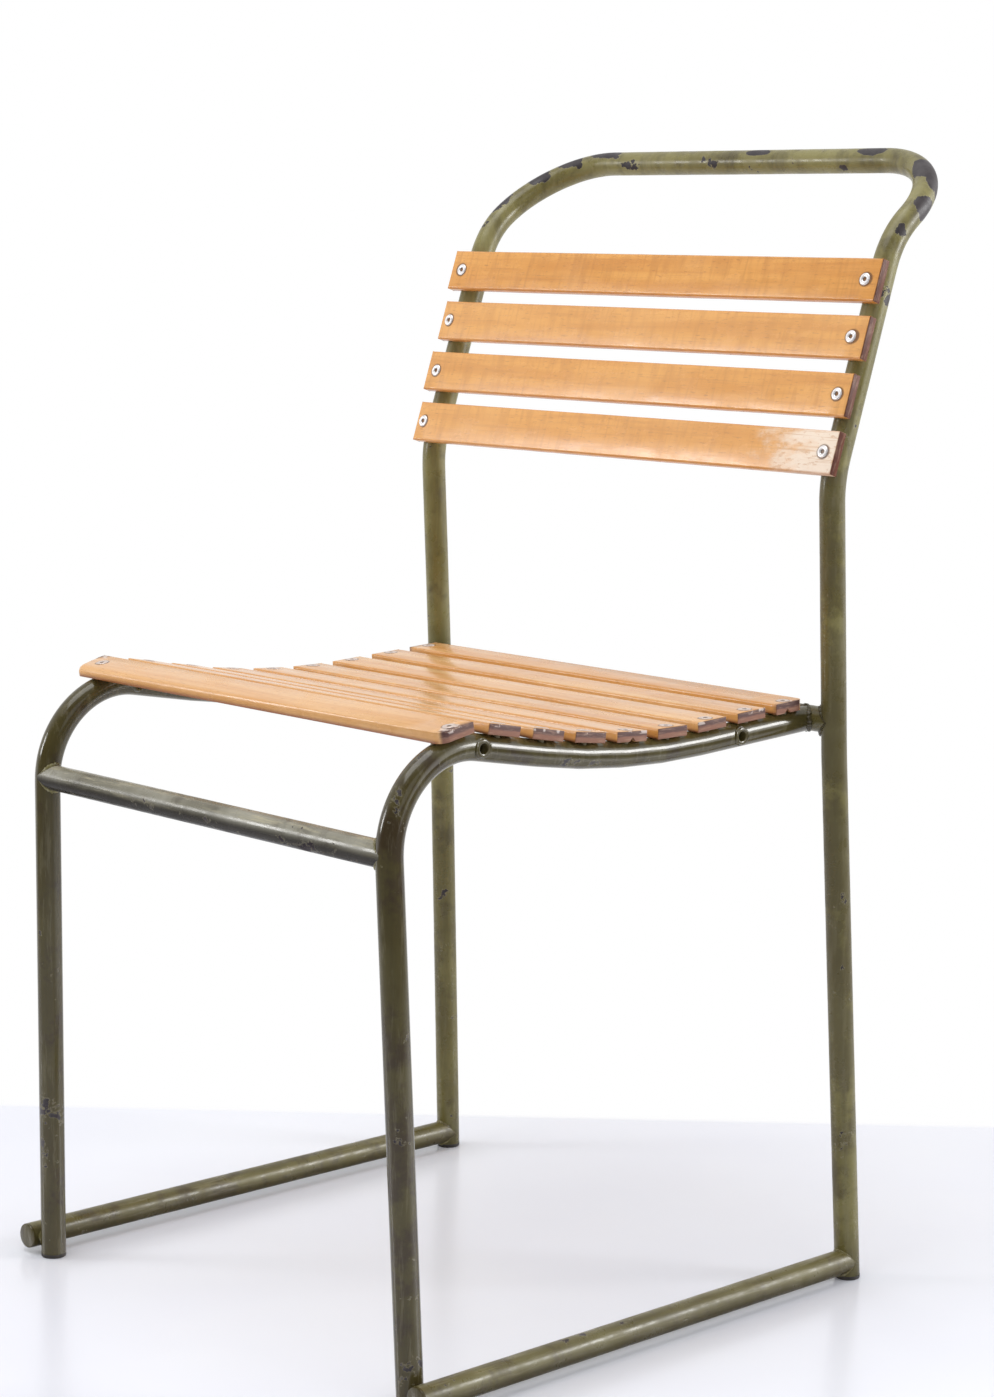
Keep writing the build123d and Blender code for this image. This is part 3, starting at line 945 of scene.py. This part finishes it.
def plug(flange, stem, edge):
    """Plug for a tube end: a rounded flange at Z = 0 and up, with a stem above it."""
    middle = round_share * edge
    top = flange + stem
    profile = [
        (plug_middle, 0.0), (tube_radius - edge, 0.0), (tube_radius - middle, middle), (tube_radius, edge),
        (tube_radius, flange), (stem_radius, flange), (stem_radius, top - stem_chamfer),
        (stem_radius - stem_chamfer, top), (plug_middle, top),
    ]
    return turned(profile, tube_sides)


# Plugs in the runners' front ends and in the feet
right_plug = plug(runner_flange, runner_stem, runner_plug_edge)
right_plug.rotation_euler = turn_towards(rearward)
right_plug.location = runner_tip - Vector((0, runner_flange, 0))
settle(right_plug, turned_smooth)
hand_over_both(right_plug, "SIDE_runner_end_plug", side_paint, "frame_paint", "SIDE_runner_plug")
for end, low, high in (("front", front_leg_low, seat_front), ("rear", rear_leg_low, rear_leg_splay)):
    right_foot = plug(foot_height, foot_stem, foot_edge)
    right_foot.location = leg_at(low, high, 0.0)
    settle(right_foot, turned_smooth)
    hand_over_both(right_foot, f"{end}_SIDE_foot", foot_rubber, "foot_rubber", f"{end}_SIDE_foot_plug")


def weld_bead(joint, along, across, size, even, rough):
    """Lumpy bead round the end of a tube that butts on another tube of the same size."""
    bead = plain_ring(tube_radius, size, bead_sides)
    frame_x = (across - along * across.dot(along)).normalized()
    frame_y = along.cross(frame_x)
    for point in bead.data.vertices:
        angle = math.atan2(point.co.y, point.co.x)
        ring = Vector((math.cos(angle), math.sin(angle), 0)) * tube_radius
        wave = bead_wave * math.sin(bead_waves * angle + 5 * joint.x)
        lump = bead_level + wave + rough * noise.noise(point.co * 300 + joint * 50)
        swell = lump * (even + (1 - even) * math.cos(angle) ** 2)
        moved = ring * bead_sink + (point.co - ring) * swell
        saddle = abs(math.cos(angle)) * tube_radius
        point.co = joint + frame_x * moved.x + frame_y * moved.y + along * (moved.z + saddle)
    settle(bead, weld_smooth)
    return bead


# Beads: name, joint, way of the tube that ends, way of the tube it meets, size, evenness, roughness, finish
upright = (back_knee - rear_leg_splay).normalized()
front_upright = (seat_front - front_leg_low).normalized()
runner_upright = (rear_leg_splay - rear_leg_low).normalized()
rail_back, rail_heading = on_route(side_route, side_length)
bead_places = [
    ("front_rail_weld", front_rail_end, leftward, front_upright, 3.2 * MM, 0.10, 0.18, weld_paint),
    ("rear_rail_weld", rear_rail_end, leftward, upright, 4.0 * MM, 0.35, 0.35, dark_weld_paint),
    ("seat_rail_weld", rail_back, -rail_heading, -leftward, 3.6 * MM, 0.45, 0.35, dark_weld_paint),
    ("runner_weld", runner_rear, -rearward, runner_upright, 2.4 * MM, 0.10, 0.18, weld_paint),
]
for bead_name, joint, along, across, size, even, rough, finish in bead_places:
    right_bead = weld_bead(joint, along, across, size, even, rough)
    hand_over_both(right_bead, f"SIDE_{bead_name}", finish, "frame_paint")

# Weld between the runner and the front leg, where the two tubes touch side by side
clear_selection()
bpy.ops.mesh.primitive_uv_sphere_add(segments=32, ring_count=16, radius=tack_radius, location=(0, 0, 0))
right_tack = bpy.context.object
for point in right_tack.data.vertices:
    lump = 1 + 0.16 * noise.noise(point.co * 420) + 0.06 * noise.noise(point.co * 1100)
    point.co = Vector((point.co.x * tack_flat, point.co.y, point.co.z * tack_height)) * lump
right_tack.location = (runner_leg + Vector((runner_rear.x, runner_leg.y, runner_height))) / 2
settle(right_tack, weld_smooth)
hand_over_both(right_tack, "SIDE_runner_tack", weld_paint, "frame_paint")


# Slats
def end_gap(x, half_length, left_reach):
    """Distance from a place along a slat to its nearer end."""
    return half_length - x if x > 0 else half_length + left_reach + x


def board(half_length, width, corner_rounds, nose, left_reach=0.0):
    """Slat lying on XY, its underside at Z = 0: a block is rounded at some corners, eased and divided."""
    clear_selection()
    bpy.ops.mesh.primitive_cube_add(size=1, location=(-left_reach / 2, 0, slat_thickness / 2))
    slat = bpy.context.object
    slat.scale = (2 * half_length + left_reach, width, slat_thickness)
    bpy.ops.object.transform_apply(location=True, rotation=True, scale=True)
    for (end_way, side_way), corner_round in corner_rounds.items():
        def at_corner(point):
            at_end = point.x * end_way > 0 and end_gap(point.x, half_length, left_reach) < touch
            return at_end and point.y * side_way > width / 2 - touch
        pick_edges(slat, lambda a, b: at_corner(a) and at_corner(b))
        bpy.ops.mesh.bevel(offset=corner_round, segments=8, affect="EDGES")

    if nose:
        left_round = -half_length - left_reach + 1.01 * corner_rounds[(-1, -1)]

        def on_nose(point):
            at_front = point.y < -width / 2 + touch
            round_left = point.x < left_round and point.y < width * 0.4
            return point.z > slat_thickness - touch and (at_front or round_left)
        pick_edges(slat, lambda a, b: on_nose(a) and on_nose(b))
        bpy.ops.mesh.bevel(offset=nose, segments=6, affect="EDGES")

    def on_end(point):
        return end_gap(point.x, half_length, left_reach) < end_touch
    pick_edges(slat, lambda a, b: on_end(a) and on_end(b) and a.x * b.x > 0)
    end_ease = rounded_slat_end_ease if corner_rounds else slat_end_ease
    bpy.ops.mesh.bevel(offset=end_ease, segments=3, affect="EDGES")

    def on_arris(point):
        level = min(point.z, slat_thickness - point.z)
        return abs(point.y) > width / 2 - touch and level < touch
    pick_edges(slat, lambda a, b: abs(a.x - b.x) > half_length and on_arris(a) and on_arris(b))
    bpy.ops.mesh.bevel(offset=slat_arris, segments=4, affect="EDGES")
    for cut in range(1, slat_cuts):
        place = -half_length + 2 * half_length * cut / slat_cuts
        bpy.ops.mesh.select_all(action="SELECT")
        bpy.ops.mesh.bisect(plane_co=(place, 0, 0), plane_no=(1, 0, 0))
    bpy.ops.object.mode_set(mode="OBJECT")
    return slat


# Breadth of the marked bands on a slat's sides and ends, and of an end that is shifted
side_band = 3 * MM
end_band = 1.2 * MM
shifted_end = 3 * MM
corner_slack = 0.2 * MM


def wear_slat(slat, half_length, width, rivet_place, number, tone, bare_length=0.0, left_reach=0.0,
              corner=0.0):
    """Uneven wear on the arrises, and the marks that the wood finish reads."""
    marks = slat.data.attributes
    for name in ("board", "grain", "mark", "wear"):
        marks.new(name, "FLOAT_VECTOR", "POINT")
    board_mark = marks["board"]
    grain_mark = marks["grain"]
    edge_mark = marks["mark"]
    wear_mark = marks["wear"]
    shift = Vector((number * 1.37, number * 0.731, number * 0.413))
    for index, point in enumerate(slat.data.vertices):
        x, y, z = point.co
        side = max(0.0, (abs(y) - width / 2 + side_band) / side_band)
        gap = end_gap(x, half_length, left_reach)
        end = max(0.0, 1 - gap / end_band)
        if corner and x > 0 and y < corner - width / 2:
            wrap = math.hypot(x - half_length + corner, y + width / 2 - corner)
            if wrap > corner - corner_slack:
                end = max(end, 1 - gap / (0.8 * corner))
        bare = max(0.0, 1 - (half_length - x) / bare_length) if bare_length else 0.0
        board_mark.data[index].vector = (abs(x) - rivet_place, y, z)
        grain_mark.data[index].vector = point.co + shift
        edge_mark.data[index].vector = (tone, side, end)
        wear_mark.data[index].vector = (bare, 0.0, 0.0)
        wander = noise.noise(Vector((x * 22, y * 40, z * 40)) + shift * 3)
        nick = noise.noise(Vector((x * 140, y * 90, z * 90)) + shift * 5)
        pull = side * (0.10 * abs(wander) + 0.16 * max(0.0, nick)) * MM
        point.co.y -= math.copysign(pull, y)
        if z > slat_thickness * 0.8:
            point.co.z -= (0.08 + 0.08 * wander) * MM + 0.5 * pull


def shift_ends(slat, half_length, left_shift, right_shift):
    """Move a slat's ends along its length, towards the right."""
    for point in slat.data.vertices:
        if half_length - abs(point.co.x) < shifted_end:
            point.co.x += right_shift if point.co.x > 0 else left_shift


def notch(slat, half_length, place, breadth, depth):
    """Split broken out of the underside of a slat's near end."""
    clear_selection()
    turn = (math.radians(45), 0, 0)
    bpy.ops.mesh.primitive_cube_add(size=1, location=(half_length, place, 0), rotation=turn)
    cutter = bpy.context.object
    cutter.scale = (2 * depth, breadth, breadth)
    cut_away(slat, cutter)


def face_turn(normal):
    """Turn that keeps X and brings Z round to a slat's normal."""
    return Matrix((rightward, normal.cross(rightward), normal)).transposed().to_4x4()


def lay_slat(slat, point, normal, lift):
    """Set a slat on its tubes: its underside lifted off the tube's axis, square to the normal."""
    middle = Vector((0, point.y, point.z)) + normal * lift
    slat.matrix_world = Matrix.Translation(middle) @ face_turn(normal)
    settle(slat, slat_smooth)


def rail_normal(heading):
    """Direction square to a seat rail, in the middle plane of the chair."""
    return Vector((0, -heading.z, heading.y)).normalized()


# Seat slats: splits (place, breadth, depth), rounded corners and tones by number
rivet_seats = {"seat": [], "back": []}
seat_notches = {5: (0.5 * MM, 5.0 * MM, 5.0 * MM), 9: (-3.0 * MM, 5.0 * MM, 4.0 * MM)}
seat_corner_rounds = {
    1: {(1, -1): front_slat_corner, (-1, -1): front_slat_corner},
    9: {(1, 1): last_slat_corner},
}
seat_tones = [0.60, 0.28, 0.52, 0.15, 0.42, 0.1, 0.38, 0.2, -0.35]
for number, station in enumerate(seat_stations, start=1):
    point, heading = on_route(side_route, station)
    normal = rail_normal(heading)
    rivet_spot = point + Vector((seat_rivet_outset, 0, 0))
    in_front = number == 1
    nose = front_slat_nose if in_front else 0.0
    reach = front_slat_left_reach if in_front else 0.0
    corner = front_slat_corner if in_front else 0.0
    rounds = seat_corner_rounds.get(number, {})
    slat = board(seat_slat_half_length, seat_slat_width, rounds, nose, reach)
    if number in seat_notches:
        notch(slat, seat_slat_half_length, *seat_notches[number])
    wear_slat(slat, seat_slat_half_length, seat_slat_width, rivet_spot.x, number, seat_tones[number - 1],
              left_reach=reach, corner=corner)
    lay_slat(slat, point, normal, seat_slat_lift)
    hand_over(slat, f"seat_board_{number}", seat_wood, "slat_wood", f"seat_slat_{number}")
    rivet_seats["seat"] += [(rivet_spot, normal), (on_left(rivet_spot), normal)]

# Back slats: shifts of the left and right ends in mm, and tones, from the bottom up
recline = (back_roll - back_knee).normalized()
back_normal = recline.cross(rightward)
back_normal = back_normal if back_normal.y < 0 else -back_normal
knee_turn = (back_knee - rear_leg_splay).angle(back_roll - back_knee)
knee_reach = knee_bend * math.tan(knee_turn / 2)
back_end_shifts = [(3.0, 1.0), (0.0, 1.0), (2.0, 3.0), (-1.5, 2.0)]
back_tones = [0.60, 0.55, 0.60, 0.36]
back_grain_start = 20
for number in range(1, back_slat_count + 1):
    point = back_knee + recline * (knee_reach + back_slat_pitch * (number - 1))
    slat = board(back_slat_half_length, back_slat_width, {}, 0.0)
    wear_slat(slat, back_slat_half_length, back_slat_width, point.x, back_grain_start + number,
              back_tones[number - 1], bare_length=bare_patch_length if number == 1 else 0.0)
    left_shift, right_shift = back_end_shifts[number - 1]
    shift_ends(slat, back_slat_half_length, left_shift * MM, right_shift * MM)
    lay_slat(slat, point, back_normal, back_slat_lift)
    hand_over(slat, f"back_board_{number}", back_wood, "slat_wood", f"back_slat_{number}")
    rivet_seats["back"] += [(point, back_normal), (on_left(point), back_normal)]


# Hollow rivets: one is turned, then copied to every slat end
def hollow_rivet(lift, crown, reach):
    """Rivet on Z with Z = 0 on the tube's axis: rolled head on the slat, splayed tail under the tube."""
    head = (lift + slat_thickness) / MM
    tail = -reach / MM
    profile = [
        (4.70, head), (4.72, head + 0.25 * crown), (4.50, head + 0.65 * crown), (3.95, head + 0.94 * crown),
        (3.20, head + crown), (2.45, head + 0.90 * crown), (1.85, head + 0.60 * crown),
        (1.50, head + 0.10 * crown), (1.40, head - 0.60),
        (1.40, tail + 0.30), (1.55, tail - 0.10), (2.20, tail - 0.24), (2.65, tail - 0.18), (2.80, tail),
        (2.80, tail + 0.90), (2.50, tail + 1.10), (2.50, lift / MM + 1.90), (2.50, head - 0.40),
        (4.70, head - 0.40), (4.70, head),
    ]
    rivet = turned([(radius * MM, height * MM) for radius, height in profile], rivet_sides)
    zone = rivet.data.attributes.new("zone", "FLOAT_VECTOR", "POINT")
    for index, point in enumerate(rivet.data.vertices):
        in_bore = math.hypot(point.co.x, point.co.y) < rivet_bore_reach
        at_tail = point.co.z < lift + rivet_tail_top
        zone.data[index].vector = (float(in_bore), float(at_tail), 0.0)
    return rivet


for part_name, lift, crown, reach, metal in (
    ("seat", seat_slat_lift, seat_rivet_crown, seat_rivet_reach, seat_rivet_metal),
    ("back", back_slat_lift, back_rivet_crown, back_rivet_reach, back_rivet_metal),
):
    pattern = hollow_rivet(lift, crown, reach)
    settle(pattern, turned_smooth)
    copies = []
    for count, (point, normal) in enumerate(rivet_seats[part_name]):
        rivet = copied(pattern, f"{part_name}_rivet_{count}")
        spin = Matrix.Rotation(chance.uniform(0, math.tau), 4, "Z")
        rivet.matrix_world = Matrix.Translation(point) @ face_turn(normal) @ spin
        copies.append(rivet)
    bpy.data.objects.remove(pattern)
    clear_selection()
    for rivet in copies:
        rivet.select_set(True)
    bpy.context.view_layer.objects.active = copies[0]
    bpy.ops.object.transform_apply(location=True, rotation=True, scale=True)
    bpy.ops.object.join()
    hand_over(copies[0], f"{part_name}_hollow_rivets", metal, "rivet_metal", f"{part_name}_slat_rivets")


# Floor: pale and slightly glossy, plain white behind the chair, and clear from below
def joined(tree, share, first, second):
    """Mix of two shaders by a share."""
    node = tree.nodes.new("ShaderNodeMixShader")
    tree.links.new(share, node.inputs["Fac"])
    tree.links.new(first, node.inputs[1])
    tree.links.new(second, node.inputs[2])
    return node.outputs["Shader"]


def glow(tree, level):
    """Even grey glow."""
    node = tree.nodes.new("ShaderNodeEmission")
    node.inputs["Color"].default_value = (level, level, level, 1)
    return node.outputs["Emission"]


floor_size = 40
floor_roughness = 0.22
floor_tones = (shade(240, 242, 252), shade(244, 246, 254))
white_from = Vector((-0.582, -0.057, 0))
white_to = Vector((0.050, 0.578, 0))
white_edge = 0.006
distant_from, distant_to = 2.0, 3.4
dim_from, dim_to = 0.7, 1.8
dim_level = 0.25
clear_selection()
bpy.ops.mesh.primitive_plane_add(size=floor_size, location=(0, 0, 0))
floor = bpy.context.object
floor.name = "studio_floor"
floor_finish, tree, shader, place = finish_tree("floor_finish")
patch = between(tree, cloudy(tree, place, scale=3, detail=3), 0.3, 0.7)
tree.links.new(blend_colour(tree, patch, *floor_tones), shader.inputs["Base Color"])
shader.inputs["Roughness"].default_value = floor_roughness
paths = tree.nodes.new("ShaderNodeLightPath").outputs
white_way = Vector((white_from.y - white_to.y, white_to.x - white_from.x, 0)).normalized()
white_start = white_way.dot(white_from)
way_out = run_towards(tree, place, white_way)
beyond = between(tree, way_out, white_start - white_edge, white_start + white_edge)
seen = sums(tree, "MAXIMUM", paths["Is Camera Ray"], paths["Is Glossy Ray"])
outward = distance_out(tree, place)
distant = times(tree, between(tree, outward, distant_from, distant_to), paths["Is Camera Ray"])
whitened = sums(tree, "MAXIMUM", times(tree, beyond, seen), distant)
surface = joined(tree, whitened, shader.outputs["BSDF"], glow(tree, 1))
mirrored = times(tree, paths["Is Glossy Ray"], sums(tree, "SUBTRACT", 1.0, beyond))
mirrored = times(tree, mirrored, between(tree, outward, dim_from, dim_to))
surface = joined(tree, mirrored, surface, glow(tree, dim_level))
from_below = tree.nodes.new("ShaderNodeNewGeometry").outputs["Backfacing"]
clear = tree.nodes.new("ShaderNodeBsdfTransparent").outputs["BSDF"]
surface = joined(tree, from_below, surface, clear)
tree.links.new(surface, tree.nodes["Material Output"].inputs["Surface"])
floor.data.materials.append(floor_finish)

# Studio light: white surroundings, a box overhead, a window on each side and a weak fill
room_level = 0.65
pale_side = (-0.60, 0.62, 0.50)
pale_levels = (0.07, 0.88)
bright_side = (0.66, 0.75, 0.0)
bright_level = 2.4
scene = bpy.context.scene
world = bpy.data.worlds.new("studio")
scene.world = world
world.use_nodes = True
tree = world.node_tree
surroundings = tree.nodes["Background"]
paths = tree.nodes.new("ShaderNodeLightPath").outputs
direction = tree.nodes.new("ShaderNodeTexCoord").outputs["Generated"]
pale_light = between(tree, run_towards(tree, direction, pale_side), -0.25, 0.45, *pale_levels)
bright_light = between(tree, run_towards(tree, direction, bright_side), 0.72, 0.95, 0.0, bright_level)
mirrored_light = sums(tree, "ADD", pale_light, bright_light)
room = between(tree, paths["Is Glossy Ray"], 0.0, 1.0, room_level, 0.0)
room = raised(tree, room, paths["Is Glossy Ray"], mirrored_light)
shown = sums(tree, "MAXIMUM", paths["Is Camera Ray"], paths["Is Transmission Ray"])
tree.links.new(sums(tree, "MAXIMUM", room, shown), surroundings.inputs["Strength"])
surroundings.inputs["Color"].default_value = (1, 1, 1, 1)


def soft_box(name, place, aim, width, height, power):
    """Lamp of a width and a height that points at a spot."""
    clear_selection()
    turn = turn_towards(Vector(place) - Vector(aim))
    bpy.ops.object.light_add(type="AREA", location=place, rotation=turn)
    lamp = bpy.context.object
    lamp.name = name
    lamp.data.shape = "RECTANGLE"
    lamp.data.size = width
    lamp.data.size_y = height
    lamp.data.energy = power


soft_box("top_box", place=(-0.2, -0.6, 3.0), aim=(0, 0, 0.4), width=1.8, height=1.8, power=28)
soft_box("left_window", place=(-2.1, -2.1, 1.2), aim=(0, 0, 0.9), width=0.6, height=0.8, power=18)
soft_box("right_window", place=(2.1, 2.0, 1.35), aim=(0, 0, 0.6), width=0.9, height=0.75, power=31)
soft_box("near_box", place=(2.6, -0.6, 1.9), aim=(0, 0, 0.5), width=1.4, height=1.4, power=5)

# Camera at the photograph's place
camera_data = bpy.data.cameras.new("camera")
camera = bpy.data.objects.new("camera", camera_data)
scene.collection.objects.link(camera)
camera_place = Vector((1.685, -1.57159, 0.7782))
yaw = math.radians(46.8679)
pitch = math.radians(8.4627)
roll = math.radians(-0.7777)
ahead = Vector((-math.sin(yaw) * math.cos(pitch), math.cos(yaw) * math.cos(pitch), -math.sin(pitch)))
level = Vector((math.cos(yaw), math.sin(yaw), 0))
down = ahead.cross(level)
right_way = level * math.cos(roll) + down * math.sin(roll)
down_way = down * math.cos(roll) - level * math.sin(roll)
aim = Matrix((right_way, -down_way, -ahead)).transposed().to_4x4()
camera.matrix_world = Matrix.Translation(camera_place) @ aim
camera_data.sensor_width = 36.0
camera_data.lens = 79.062
camera_data.clip_start = 0.05
camera_data.clip_end = 60.0
scene.camera = camera
scene.view_settings.view_transform = "Standard"

clear_selection()
